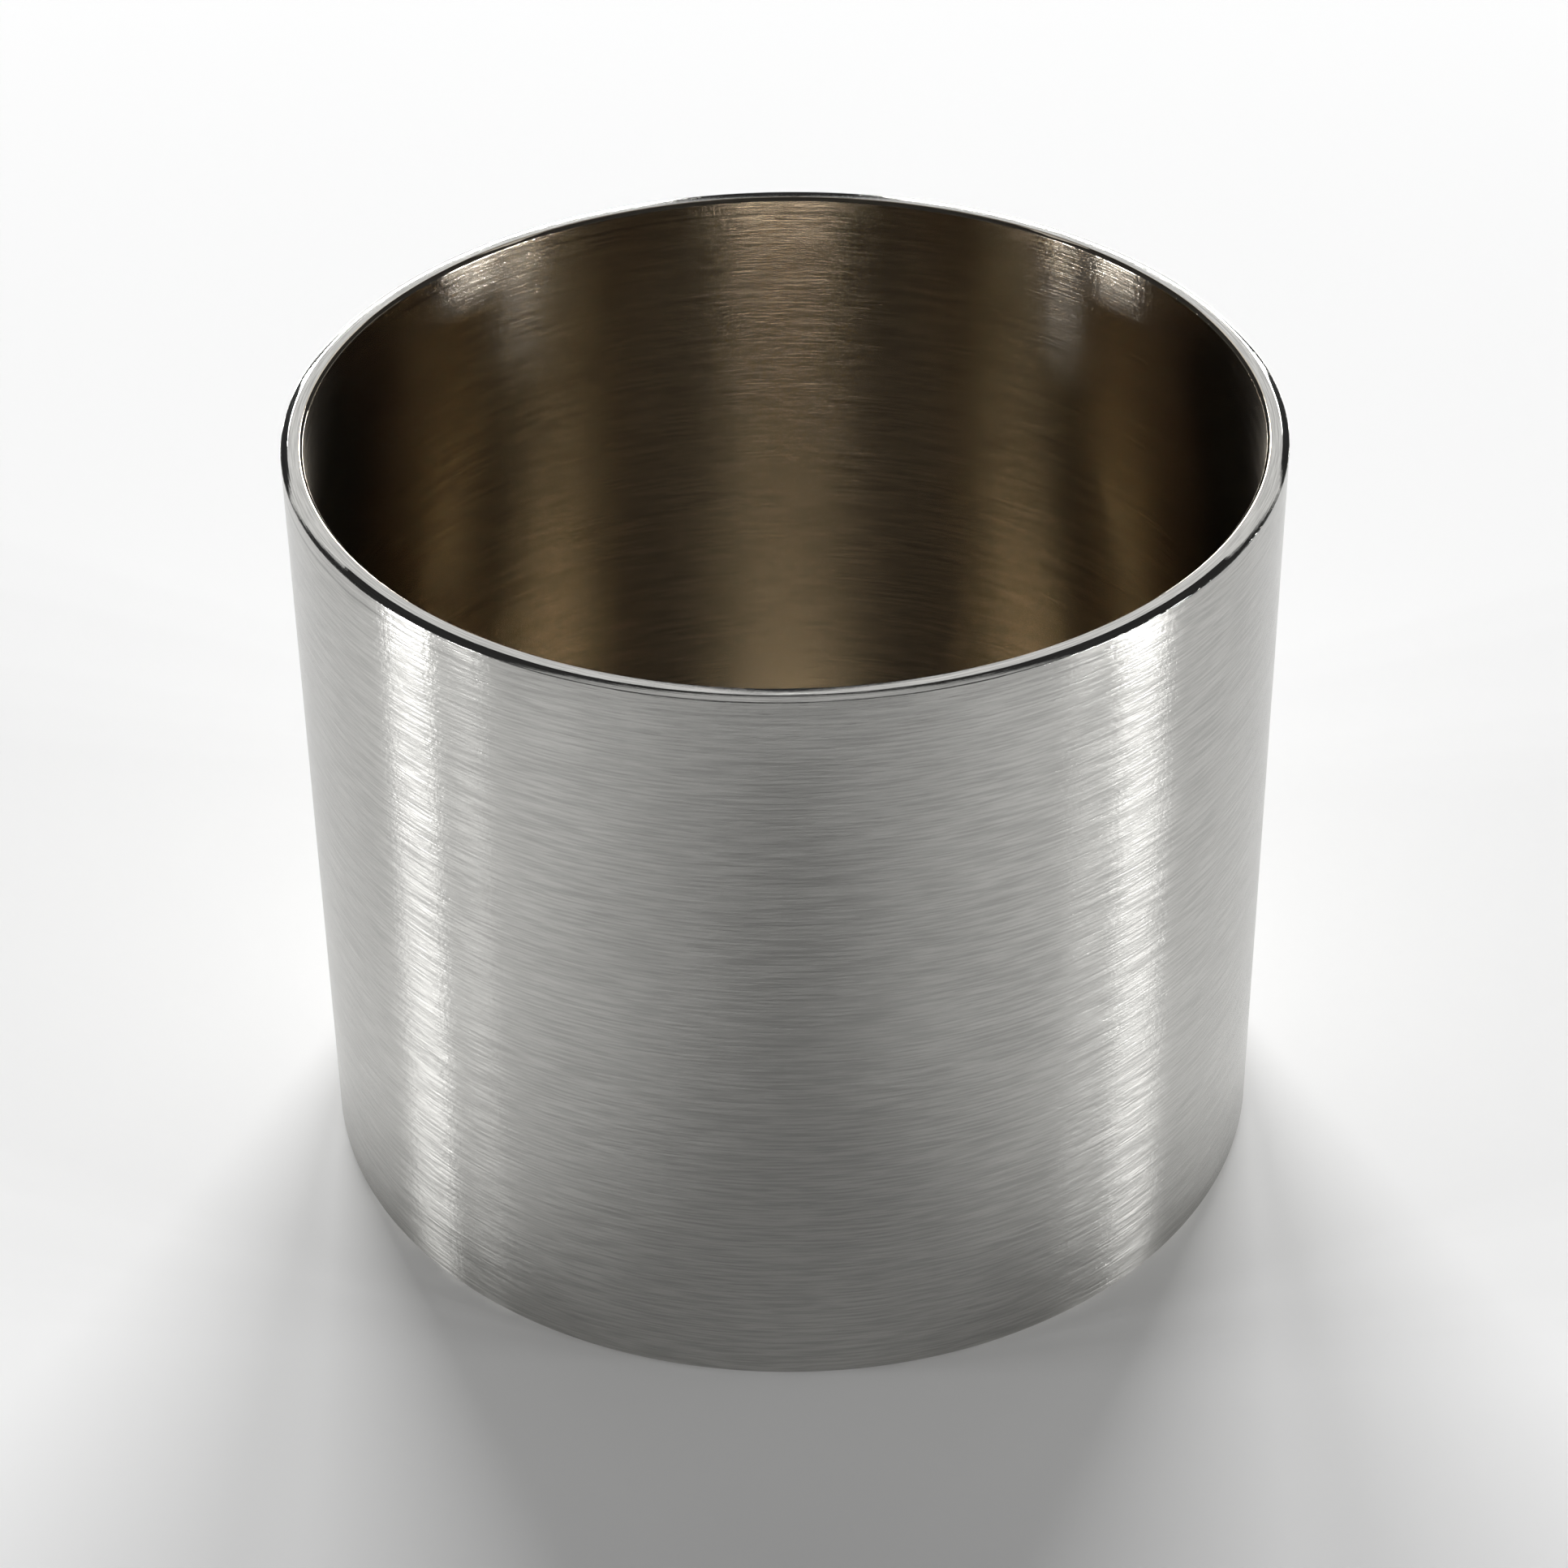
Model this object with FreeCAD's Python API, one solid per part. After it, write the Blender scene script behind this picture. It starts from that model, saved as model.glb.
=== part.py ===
"""Deep drawn metal cup: a round sheet blank drawn and ironed into one open, straight-sided cup.

The cup stands on its flat base with its mouth up. The origin is the centre of the base's
underside, +Z is the cup's axis, and every length is in millimetres. The whole cup is one
half section turned about the axis, so each dimension below shows directly in its profile.
"""

import FreeCAD, Part
import math
import os

# Body of the cup
OUTER_DIAMETER = 60.0           # ironed wall, parallel from the base corner to the mouth
CUP_HEIGHT = 49.5               # trimmed mouth above the base's underside
BASE_THICKNESS = 1.5            # flat base, left at the thickness of the sheet by the draw
WALL_THICKNESS = 1.35           # side wall, thinned by ironing

# Corner between base and wall
CORNER_OUTER_RADIUS = 0.5       # struck almost sharp in the last die
CORNER_INNER_RADIUS = 3.0       # nose of the punch

# Mouth, trimmed square across the wall and broken on both edges
RIM_OUTER_BREAK_WIDTH = 0.45    # shallow slope on the outside, measured across the wall
RIM_OUTER_BREAK_DROP = 0.20     # and measured down the wall
RIM_INNER_BREAK = 0.22          # 45 degree chamfer on the inside, the same both ways

OUTER_RADIUS = OUTER_DIAMETER / 2
INNER_RADIUS = OUTER_RADIUS - WALL_THICKNESS
FULL_TURN = 360.0

CUP_AXIS = FreeCAD.Vector(0, 0, 1)
BASE_CENTRE = FreeCAD.Vector(0, 0, 0)


def point(radius, height):
    """A point of the half section, at a distance from the axis and a height over the base."""
    return FreeCAD.Vector(radius, 0, height)


def line(start, end):
    return Part.LineSegment(start, end).toShape()


def quarter_arc(start, end, centre, radius):
    """A quarter of a circle from start to end, which both lie on it about the centre."""
    towards_middle = (start - centre) + (end - centre)
    middle = centre + towards_middle.normalize() * radius
    return Part.Arc(start, middle, end).toShape()


def outer_side():
    """The underside, the outer corner and the outer wall, from the axis to the mouth."""
    corner_centre = point(OUTER_RADIUS - CORNER_OUTER_RADIUS, CORNER_OUTER_RADIUS)
    underside_end = point(OUTER_RADIUS - CORNER_OUTER_RADIUS, 0)
    wall_start = point(OUTER_RADIUS, CORNER_OUTER_RADIUS)
    wall_end = point(OUTER_RADIUS, CUP_HEIGHT - RIM_OUTER_BREAK_DROP)
    return [
        line(point(0, 0), underside_end),
        quarter_arc(underside_end, wall_start, corner_centre, CORNER_OUTER_RADIUS),
        line(wall_start, wall_end),
    ]


def rim():
    """The outer slope, the flat land and the inner chamfer, from the outer to the inner wall."""
    outer_foot = point(OUTER_RADIUS, CUP_HEIGHT - RIM_OUTER_BREAK_DROP)
    land_outer = point(OUTER_RADIUS - RIM_OUTER_BREAK_WIDTH, CUP_HEIGHT)
    land_inner = point(INNER_RADIUS + RIM_INNER_BREAK, CUP_HEIGHT)
    inner_foot = point(INNER_RADIUS, CUP_HEIGHT - RIM_INNER_BREAK)
    return [
        line(outer_foot, land_outer),
        line(land_outer, land_inner),
        line(land_inner, inner_foot),
    ]


def inner_side():
    """The inner wall, the punch corner and the inner floor, from the mouth back to the axis."""
    corner_bottom = BASE_THICKNESS + CORNER_INNER_RADIUS
    corner_centre = point(INNER_RADIUS - CORNER_INNER_RADIUS, corner_bottom)
    wall_start = point(INNER_RADIUS, CUP_HEIGHT - RIM_INNER_BREAK)
    wall_end = point(INNER_RADIUS, corner_bottom)
    floor_edge = point(INNER_RADIUS - CORNER_INNER_RADIUS, BASE_THICKNESS)
    return [
        line(wall_start, wall_end),
        quarter_arc(wall_end, floor_edge, corner_centre, CORNER_INNER_RADIUS),
        line(floor_edge, point(0, BASE_THICKNESS)),
    ]


def drawn_cup():
    """The half section, closed along the axis and turned once round it."""
    axis_edge = line(point(0, BASE_THICKNESS), point(0, 0))
    section = Part.Face(Part.Wire(outer_side() + rim() + inner_side() + [axis_edge]))
    return section.revolve(BASE_CENTRE, CUP_AXIS, FULL_TURN)


def pappus_volume():
    """Volume worked out by hand from plain rings and discs, with sharp corners, as a check."""
    base = math.pi * OUTER_RADIUS**2 * BASE_THICKNESS
    wall_ring = math.pi * (OUTER_RADIUS**2 - INNER_RADIUS**2)
    return base + wall_ring * (CUP_HEIGHT - BASE_THICKNESS)


cup = drawn_cup()
assert cup.isValid() and len(cup.Solids) == 1, "the cup must be one valid solid"
volume_ratio = cup.Volume / pappus_volume()
assert 0.98 < volume_ratio < 1.04, "the turned section does not hold a cup's volume"

os.makedirs("parts", exist_ok=True)
cup.exportStep("parts/cup.step")
print("cup: volume %.0f mm3, %d faces" % (cup.Volume, len(cup.Faces)))
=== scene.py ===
"""The look of the deep drawn metal cup: brushed metal, pale floor, lamps and camera.

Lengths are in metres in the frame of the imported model: the cup stands on z = 0 with its axis
on Z, and the camera looks along +Y. Angles round the cup are degrees from the camera's side.
"""

import math

import bpy
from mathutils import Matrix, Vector


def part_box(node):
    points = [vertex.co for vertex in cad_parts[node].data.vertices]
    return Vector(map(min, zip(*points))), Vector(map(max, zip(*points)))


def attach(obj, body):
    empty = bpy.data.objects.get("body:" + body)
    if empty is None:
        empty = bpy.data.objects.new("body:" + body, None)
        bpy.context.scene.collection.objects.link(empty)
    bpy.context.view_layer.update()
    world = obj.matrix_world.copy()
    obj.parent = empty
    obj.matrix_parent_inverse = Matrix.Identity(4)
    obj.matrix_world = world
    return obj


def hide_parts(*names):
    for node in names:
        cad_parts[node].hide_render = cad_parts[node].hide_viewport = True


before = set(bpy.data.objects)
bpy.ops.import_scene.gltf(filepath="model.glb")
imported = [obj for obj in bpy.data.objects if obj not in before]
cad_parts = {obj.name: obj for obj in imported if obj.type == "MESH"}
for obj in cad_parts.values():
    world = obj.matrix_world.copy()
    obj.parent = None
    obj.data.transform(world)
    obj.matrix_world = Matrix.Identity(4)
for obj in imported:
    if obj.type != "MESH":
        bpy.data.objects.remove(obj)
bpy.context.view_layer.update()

# ---------------------------------------------------------------- driving dimensions

MM = 0.001
CUP_NODE = "cup"
OUTER_RADIUS = (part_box(CUP_NODE)[1].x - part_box(CUP_NODE)[0].x) / 2
CUP_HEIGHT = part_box(CUP_NODE)[1].z

WALL_THICKNESS = 1.35 * MM
BASE_THICKNESS = 1.5 * MM
CORNER_OUTER_RADIUS = 0.5 * MM
CORNER_INNER_RADIUS = 3.0 * MM
RIM_OUTER_BREAK_WIDTH = 0.45 * MM
RIM_OUTER_BREAK_DROP = 0.20 * MM
RIM_INNER_BREAK = 0.22 * MM
EDGE_SOFTENING = 0.035 * MM      # the tiny radius that real rim edges have

INNER_RADIUS = OUTER_RADIUS - WALL_THICKNESS
ROUND_STEPS = 384                # facets round the cup
WALL_STEPS = 12                  # rings up the wall, on each side
BASE_STEPS = 8                   # rings across the base, on each side
OUTER_CORNER_STEPS = 6
INNER_CORNER_STEPS = 10

# ---------------------------------------------------------------- small helpers


def link_object(name, data):
    obj = bpy.data.objects.new(name, data)
    bpy.context.scene.collection.objects.link(obj)
    return obj


class Nodes:
    """Short ways to add and join shader nodes in one material or world."""

    def __init__(self, tree):
        self.tree = tree
        tree.nodes.clear()

    def add(self, kind, **settings):
        node = self.tree.nodes.new(kind)
        for name, value in settings.items():
            setattr(node, name, value)
        return node

    def join(self, source, target):
        self.tree.links.new(source, target)

    def feed(self, socket, value):
        """Sets a socket to a number, or joins it to another socket."""
        if isinstance(value, (int, float, tuple)):
            socket.default_value = value
        else:
            self.join(value, socket)

    def math(self, operation, first, second=0.0):
        node = self.add("ShaderNodeMath", operation=operation)
        self.feed(node.inputs[0], first)
        self.feed(node.inputs[1], second)
        return node.outputs[0]

    def ramp(self, value, low, high, to_low=0.0, to_high=1.0):
        """A value carried smoothly from one range to another, and held at its ends."""
        node = self.add("ShaderNodeMapRange", interpolation_type="SMOOTHSTEP")
        self.feed(node.inputs["Value"], value)
        node.inputs["From Min"].default_value = low
        node.inputs["From Max"].default_value = high
        node.inputs["To Min"].default_value = to_low
        node.inputs["To Max"].default_value = to_high
        return node.outputs["Result"]

    def noise(self, vector, scale, detail, roughness):
        node = self.add("ShaderNodeTexNoise")
        self.join(vector, node.inputs["Vector"])
        node.inputs["Scale"].default_value = scale
        node.inputs["Detail"].default_value = detail
        node.inputs["Roughness"].default_value = roughness
        return node.outputs["Fac"]

    def bump(self, height, distance):
        node = self.add("ShaderNodeBump")
        node.inputs["Strength"].default_value = 1.0
        node.inputs["Distance"].default_value = distance
        self.join(height, node.inputs["Height"])
        return node

    def combine(self, x, y, z):
        node = self.add("ShaderNodeCombineXYZ")
        for socket, value in zip(node.inputs, (x, y, z)):
            self.feed(socket, value)
        return node.outputs[0]

    def mix_colour(self, factor, first, second):
        node = self.add("ShaderNodeMix", data_type="RGBA", blend_type="MIX")
        self.feed(node.inputs["Factor"], factor)
        self.feed(node.inputs[6], first)
        self.feed(node.inputs[7], second)
        return node.outputs[2]


# ---------------------------------------------------------------- the cup's mesh


def arc_points(centre, radius, start, end, steps):
    """Points on a circle of the half section, angles in degrees from the outward direction."""
    points = []
    for step in range(steps + 1):
        angle = math.radians(start + (end - start) * step / steps)
        points.append((centre[0] + radius * math.cos(angle), centre[1] + radius * math.sin(angle)))
    return points


def softened(corner, before, after, radius, steps=3):
    """A corner of the half section replaced by a small curve between its two edges."""
    corner, before, after = Vector(corner), Vector(before), Vector(after)
    start = corner + (before - corner).normalized() * radius
    end = corner + (after - corner).normalized() * radius
    points = []
    for step in range(steps + 1):
        t = step / steps
        points.append(tuple(start.lerp(corner, t).lerp(corner.lerp(end, t), t)))
    return points


def straight(start, end, steps):
    """Points between two ends, without the ends themselves."""
    start, end = Vector(start), Vector(end)
    return [tuple(start.lerp(end, step / steps)) for step in range(1, steps)]


def cup_profile():
    """The half section as (radius, height), from the underside's centre to the floor's centre."""
    outer_foot = (OUTER_RADIUS, CUP_HEIGHT - RIM_OUTER_BREAK_DROP)
    land_outer = (OUTER_RADIUS - RIM_OUTER_BREAK_WIDTH, CUP_HEIGHT)
    land_inner = (INNER_RADIUS + RIM_INNER_BREAK, CUP_HEIGHT)
    inner_foot = (INNER_RADIUS, CUP_HEIGHT - RIM_INNER_BREAK)
    outer_corner = (OUTER_RADIUS - CORNER_OUTER_RADIUS, CORNER_OUTER_RADIUS)
    inner_corner = (INNER_RADIUS - CORNER_INNER_RADIUS, BASE_THICKNESS + CORNER_INNER_RADIUS)
    wall_bottom = (OUTER_RADIUS, CORNER_OUTER_RADIUS)
    inner_bottom = (INNER_RADIUS, BASE_THICKNESS + CORNER_INNER_RADIUS)

    profile = [(0.0, 0.0)]
    profile += straight((0.0, 0.0), (outer_corner[0], 0.0), BASE_STEPS)
    profile += arc_points(outer_corner, CORNER_OUTER_RADIUS, -90, 0, OUTER_CORNER_STEPS)
    profile += straight(wall_bottom, outer_foot, WALL_STEPS)
    profile += softened(outer_foot, wall_bottom, land_outer, EDGE_SOFTENING)
    profile += softened(land_outer, outer_foot, land_inner, EDGE_SOFTENING)
    profile += softened(land_inner, land_outer, inner_foot, EDGE_SOFTENING)
    profile += softened(inner_foot, land_inner, inner_bottom, EDGE_SOFTENING)
    profile += straight(inner_foot, inner_bottom, WALL_STEPS)
    profile += arc_points(inner_corner, CORNER_INNER_RADIUS, 0, -90, INNER_CORNER_STEPS)
    profile += straight((inner_corner[0], BASE_THICKNESS), (0.0, BASE_THICKNESS), BASE_STEPS)
    profile.append((0.0, BASE_THICKNESS))
    return profile


def profile_lengths(profile):
    """How far along the profile each of its points lies."""
    lengths = [0.0]
    for first, second in zip(profile, profile[1:]):
        lengths.append(lengths[-1] + math.dist(first, second))
    return lengths


def lathe(name, profile):
    """A closed mesh turned about Z, with one clean unwrap: round the cup by along the profile."""
    rings = profile[1:-1]
    lengths = profile_lengths(profile)
    vertices = [(0.0, 0.0, profile[0][1])]
    for radius, height in rings:
        for step in range(ROUND_STEPS):
            angle = 2 * math.pi * step / ROUND_STEPS
            vertices.append((radius * math.sin(angle), -radius * math.cos(angle), height))
    vertices.append((0.0, 0.0, profile[-1][1]))
    last = len(vertices) - 1

    faces, corners = [], []

    def unwrap(step, index):
        return (step / ROUND_STEPS, lengths[index] / lengths[-1])

    def ring_vertex(ring, step):
        return 1 + ring * ROUND_STEPS + step % ROUND_STEPS

    for step in range(ROUND_STEPS):
        faces.append((0, ring_vertex(0, step + 1), ring_vertex(0, step)))
        corners += [unwrap(step + 0.5, 0), unwrap(step + 1, 1), unwrap(step, 1)]
    for ring in range(len(rings) - 1):
        for step in range(ROUND_STEPS):
            faces.append((
                ring_vertex(ring, step), ring_vertex(ring, step + 1),
                ring_vertex(ring + 1, step + 1), ring_vertex(ring + 1, step),
            ))
            corners += [
                unwrap(step, ring + 1), unwrap(step + 1, ring + 1),
                unwrap(step + 1, ring + 2), unwrap(step, ring + 2),
            ]
    top = len(rings) - 1
    for step in range(ROUND_STEPS):
        faces.append((ring_vertex(top, step), ring_vertex(top, step + 1), last))
        corners += [unwrap(step, top + 1), unwrap(step + 1, top + 1), unwrap(step + 0.5, top + 2)]

    mesh = bpy.data.meshes.new(name)
    mesh.from_pydata(vertices, [], faces)
    uv_layer = mesh.uv_layers.new(name="OFBake")
    for loop, uv in zip(uv_layer.data, corners):
        loop.uv = uv
    mesh.shade_smooth()
    return link_object(name, mesh)


# ---------------------------------------------------------------- the brushed metal

METAL_COLOUR = (0.48, 0.475, 0.455, 1.0)
# The inside's warmer, browner colour is a painted tint. It stands for the golden glow that
# reflections between the inner walls give the same metal.
INSIDE_REFLECTION_TINT = (0.56, 0.505, 0.42, 1.0)
BRUSH_ROUGHNESS = 0.19
INSIDE_ROUGHNESS = 0.16
RIM_ROUGHNESS = 0.045            # trimmed smooth
BRUSH_ANISOTROPY = 1.0
ALONG_AXIS = 0.25                # a quarter turn, so that highlights run up the wall

# Where the surface counts as inside or as rim, between its faces and so clear of any rounding
INSIDE_WALL_SHARE = 0.8          # of the wall's thickness, in from the outer wall
INSIDE_BASE_SHARE = 0.5          # of the base's thickness, up from the underside
RIM_DROP_SHARE = 0.9             # of the outer slope's drop, down from the mouth

# Noise drawn out along the brushing: width of a line, length of a line, and detail
FINE_LINES = (0.14 * MM, 3.2 * MM, 3.0)
BROAD_LINES = (0.5 * MM, 14.0 * MM, 2.0)
LINE_NOISE_ROUGHNESS = 0.6
RIM_LINE_TILT = 1.7              # makes the lines run round the flat rim too
# Noise that is the same every way: size of a spot, detail and the noise's own roughness
GRAIN = (0.35 * MM, 2.0, 0.55)
CLOUD = (16 * MM, 3.0, 0.5)
MIDDLE_NOISE = (0.3, 0.7)        # the range that nearly all noise falls in

FINE_SHADE = 0.16                # how far the lines and clouds shift the colour
CLOUD_SHADE = 0.04
INSIDE_LINE_FADE = 0.3           # share of the lines' shade that is missing inside
FINE_ROUGHNESS = 0.015
BROAD_ROUGHNESS = 0.01
LINE_RELIEF = 0.03 * MM
GRAIN_RELIEF = 0.012 * MM
RIM_RELIEF_LOSS = 0.9

SCRATCH_DROP = 1.1 * MM          # below the mouth
SCRATCH_WIDTH = 0.12 * MM
SCRATCH_DEPTH = 0.30             # share of the colour that a scratch takes away
SCRATCH_BREAKS = (0.44, 0.56)    # where in the cloud noise the ring of scratches fades out


def brushed_metal():
    material = bpy.data.materials.new("brushed_cup_metal")
    material.use_nodes = True
    n = Nodes(material.node_tree)
    place = n.add("ShaderNodeTexCoord").outputs["Object"]
    split = n.add("ShaderNodeSeparateXYZ")
    n.join(place, split.inputs[0])
    x, y, z = split.outputs

    # distance from the axis, and the distance across the brush lines on wall and rim alike
    radius = n.math("SQRT", n.math("ADD", n.math("MULTIPLY", x, x), n.math("MULTIPLY", y, y)))
    across = n.math("SUBTRACT", z, n.math("MULTIPLY", radius, RIM_LINE_TILT))

    def hairlines(width, length, detail):
        """Noise drawn out along the brush lines, which run round the cup."""
        stretched = n.combine(
            n.math("MULTIPLY", x, 1 / length),
            n.math("MULTIPLY", y, 1 / length),
            n.math("MULTIPLY", across, 1 / width),
        )
        return n.noise(stretched, 1.0, detail, LINE_NOISE_ROUGHNESS)

    def spots(size, detail, noise_roughness):
        return n.noise(place, 1 / size, detail, noise_roughness)

    def spread(noise, middle, reach):
        """A value that the noise moves by up to the reach either side of the middle."""
        return n.ramp(noise, *MIDDLE_NOISE, middle - reach, middle + reach)

    fine = hairlines(*FINE_LINES)
    broad = hairlines(*BROAD_LINES)
    grain = spots(*GRAIN)
    cloud = spots(*CLOUD)

    inside = n.math("MULTIPLY",
        n.math("LESS_THAN", radius, OUTER_RADIUS - WALL_THICKNESS * INSIDE_WALL_SHARE),
        n.math("GREATER_THAN", z, BASE_THICKNESS * INSIDE_BASE_SHARE))
    # the inside takes the painted reflection tint in place of the metal's own colour
    tone_with_painted_inside_tint = n.mix_colour(inside, METAL_COLOUR, INSIDE_REFLECTION_TINT)
    shade = n.math("ADD",
        n.math("MULTIPLY",
            spread(fine, 0.0, FINE_SHADE),
            n.math("SUBTRACT", 1.0, n.math("MULTIPLY", inside, INSIDE_LINE_FADE))),
        spread(cloud, 0.0, CLOUD_SHADE))
    # a broken ring of fine scratches just under the rim, left by its trimming
    off_ring = n.math("ABSOLUTE", n.math("SUBTRACT", z, CUP_HEIGHT - SCRATCH_DROP))
    scratch = n.math("MULTIPLY",
        n.ramp(off_ring, SCRATCH_WIDTH / 2, SCRATCH_WIDTH, 1.0, 0.0),
        n.ramp(cloud, *SCRATCH_BREAKS))
    shade = n.math("SUBTRACT", shade, n.math("MULTIPLY", scratch, SCRATCH_DEPTH))
    toned = n.add("ShaderNodeVectorMath", operation="SCALE")
    n.join(tone_with_painted_inside_tint, toned.inputs[0])
    n.join(n.math("ADD", shade, 1.0), toned.inputs["Scale"])

    on_rim = n.math("GREATER_THAN", z, CUP_HEIGHT - RIM_OUTER_BREAK_DROP * RIM_DROP_SHARE)
    brushing = n.math("ADD",
        spread(fine, 0.0, FINE_ROUGHNESS),
        spread(broad, BRUSH_ROUGHNESS, BROAD_ROUGHNESS))
    smoother = n.math("ADD",
        n.math("MULTIPLY", inside, 1.0 - INSIDE_ROUGHNESS / BRUSH_ROUGHNESS),
        n.math("MULTIPLY", on_rim, 1.0 - RIM_ROUGHNESS / BRUSH_ROUGHNESS))
    roughness = n.math("MULTIPLY", brushing, n.math("SUBTRACT", 1.0, smoother))

    # the rim is trimmed smooth, and keeps only a trace of the relief
    relief = n.math("SUBTRACT", 1.0, n.math("MULTIPLY", on_rim, RIM_RELIEF_LOSS))
    lines = n.bump(n.math("MULTIPLY", fine, relief), LINE_RELIEF)
    dimples = n.bump(n.math("MULTIPLY", grain, relief), GRAIN_RELIEF)
    n.join(lines.outputs[0], dimples.inputs["Normal"])

    tangent = n.add("ShaderNodeTangent", direction_type="RADIAL", axis="Z")
    shader = n.add("ShaderNodeBsdfPrincipled")
    shader.inputs["Metallic"].default_value = 1.0
    shader.inputs["Anisotropic"].default_value = BRUSH_ANISOTROPY
    shader.inputs["Anisotropic Rotation"].default_value = ALONG_AXIS
    n.join(toned.outputs[0], shader.inputs["Base Color"])
    n.join(roughness, shader.inputs["Roughness"])
    n.join(dimples.outputs[0], shader.inputs["Normal"])
    n.join(tangent.outputs[0], shader.inputs["Tangent"])
    output = n.add("ShaderNodeOutputMaterial")
    n.join(shader.outputs[0], output.inputs["Surface"])
    return material


def make_cup():
    cup = lathe("cup_body", cup_profile())
    cup.data.materials.append(brushed_metal())
    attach(cup, "root")
    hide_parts(CUP_NODE)


# ---------------------------------------------------------------- floor and lamps

FLOOR_HALF_SIZE = 3.0
FLOOR_COLOUR = (0.96, 0.96, 0.96, 1.0)
FLOOR_ROUGHNESS = 0.9
SKY_LEVEL = 0.04


def make_world():
    world = bpy.data.worlds.new("studio")
    world.use_nodes = True
    n = Nodes(world.node_tree)
    background = n.add("ShaderNodeBackground")
    background.inputs["Color"].default_value = (1.0, 1.0, 1.0, 1.0)
    background.inputs["Strength"].default_value = SKY_LEVEL
    output = n.add("ShaderNodeOutputWorld")
    n.join(background.outputs[0], output.inputs["Surface"])
    bpy.context.scene.world = world


def make_floor():
    mesh = bpy.data.meshes.new("floor")
    s = FLOOR_HALF_SIZE
    mesh.from_pydata([(-s, -s, 0), (s, -s, 0), (s, s, 0), (-s, s, 0)], [], [(0, 1, 2, 3)])
    floor = link_object("floor", mesh)
    material = bpy.data.materials.new("floor_paper")
    material.use_nodes = True
    shader = material.node_tree.nodes["Principled BSDF"]
    shader.inputs["Base Color"].default_value = FLOOR_COLOUR
    shader.inputs["Roughness"].default_value = FLOOR_ROUGHNESS
    shader.inputs["Specular IOR Level"].default_value = 0.0
    mesh.materials.append(material)


# The lamps are all real ones, which light the floor and the metal alike. Each kind has its
# climb in degrees, and its distance, width and height. Each lamp faces the middle of the cup.
KEY_BOX = (16.0, 2.40, 0.86, 0.79)        # behind the cup, whose shadow darkens its own front
BACK_BOX = (33.5, 1.20, 0.76, 0.36)       # seen in the flat rim
OVERHEAD_BOX = (88.0, 1.00, 1.70, 0.22)   # seen in the rim's outer slope
STRIP = (2.4, 2.00, 0.0145, 0.205)        # draws a bright line down the wall
GLINT = (9.0, 2.00, 0.0145, 0.280)        # reaches over the rim to the inside

# name, degrees round from the camera's side, kind and radiance
LAMPS = (
    ("key_left", -166.5, KEY_BOX, 29.0),
    ("key_right", 166.5, KEY_BOX, 29.0),
    ("back_left", -158.0, BACK_BOX, 1.0),
    ("back_right", 158.0, BACK_BOX, 1.0),
    ("overhead", 180.0, OVERHEAD_BOX, 0.60),
    ("strip_left_a", -81.3, STRIP, 1150.0),
    ("strip_left_b", -85.2, STRIP, 1150.0),
    ("strip_left_c", -89.1, STRIP, 1050.0),
    ("strip_right_a", 74.3, STRIP, 1050.0),
    ("strip_right_b", 78.2, STRIP, 1150.0),
    ("strip_right_c", 82.1, STRIP, 1150.0),
    ("glint_left_a", -68.0, GLINT, 300.0),
    ("glint_left_b", -72.0, GLINT, 300.0),
    ("glint_right_a", 63.0, GLINT, 300.0),
    ("glint_right_b", 67.0, GLINT, 300.0),
)


def make_lamps():
    middle = Vector((0, 0, CUP_HEIGHT / 2))
    for name, turn, (climb, distance, width, height), radiance in LAMPS:
        turn, climb = math.radians(turn), math.radians(climb)
        away = Vector((
            math.cos(climb) * math.sin(turn), -math.cos(climb) * math.cos(turn), math.sin(climb)))
        data = bpy.data.lights.new(name, "AREA")
        data.shape = "RECTANGLE"
        data.size, data.size_y = width, height
        data.energy = radiance * math.pi * width * height
        lamp = link_object(name, data)
        lamp.location = middle + away * distance
        lamp.rotation_mode = "QUATERNION"
        lamp.rotation_quaternion = away.to_track_quat("Z", "Y")


# ---------------------------------------------------------------- camera

CAMERA_BACK = 6.9427             # in outer radii, in front of the axis
CAMERA_UP = 5.6715               # in outer radii, over the base
CAMERA_PITCH = 0.6158            # radians below level
CAMERA_YAW = -0.0012
CAMERA_ROLL = -0.0116
FOCAL_LENGTH = 92.19             # millimetres
SENSOR_WIDTH = 36.0
CLIP_NEAR = 0.01
CLIP_FAR = 20.0


def make_camera():
    forward = Vector((0, math.cos(CAMERA_PITCH), -math.sin(CAMERA_PITCH)))
    up = Vector((0, math.sin(CAMERA_PITCH), math.cos(CAMERA_PITCH)))
    right = Vector((1, 0, 0))
    cos_yaw, sin_yaw = math.cos(CAMERA_YAW), math.sin(CAMERA_YAW)
    forward, right = forward * cos_yaw + right * sin_yaw, right * cos_yaw - forward * sin_yaw
    cos_roll, sin_roll = math.cos(CAMERA_ROLL), math.sin(CAMERA_ROLL)
    right, up = right * cos_roll + up * sin_roll, up * cos_roll - right * sin_roll

    data = bpy.data.cameras.new("camera")
    data.lens = FOCAL_LENGTH
    data.sensor_width = SENSOR_WIDTH
    data.clip_start = CLIP_NEAR
    data.clip_end = CLIP_FAR
    camera = link_object("camera", data)
    rotation = camera.matrix_world.to_3x3()
    for row in range(3):
        rotation[row] = (right[row], up[row], -forward[row])
    camera.matrix_world = rotation.to_4x4()
    camera.location = (0.0, -CAMERA_BACK * OUTER_RADIUS, CAMERA_UP * OUTER_RADIUS)
    bpy.context.scene.camera = camera


# ---------------------------------------------------------------- the whole scene

make_camera()
make_world()
make_floor()
make_lamps()
make_cup()
bpy.context.scene.view_settings.view_transform = "Standard"
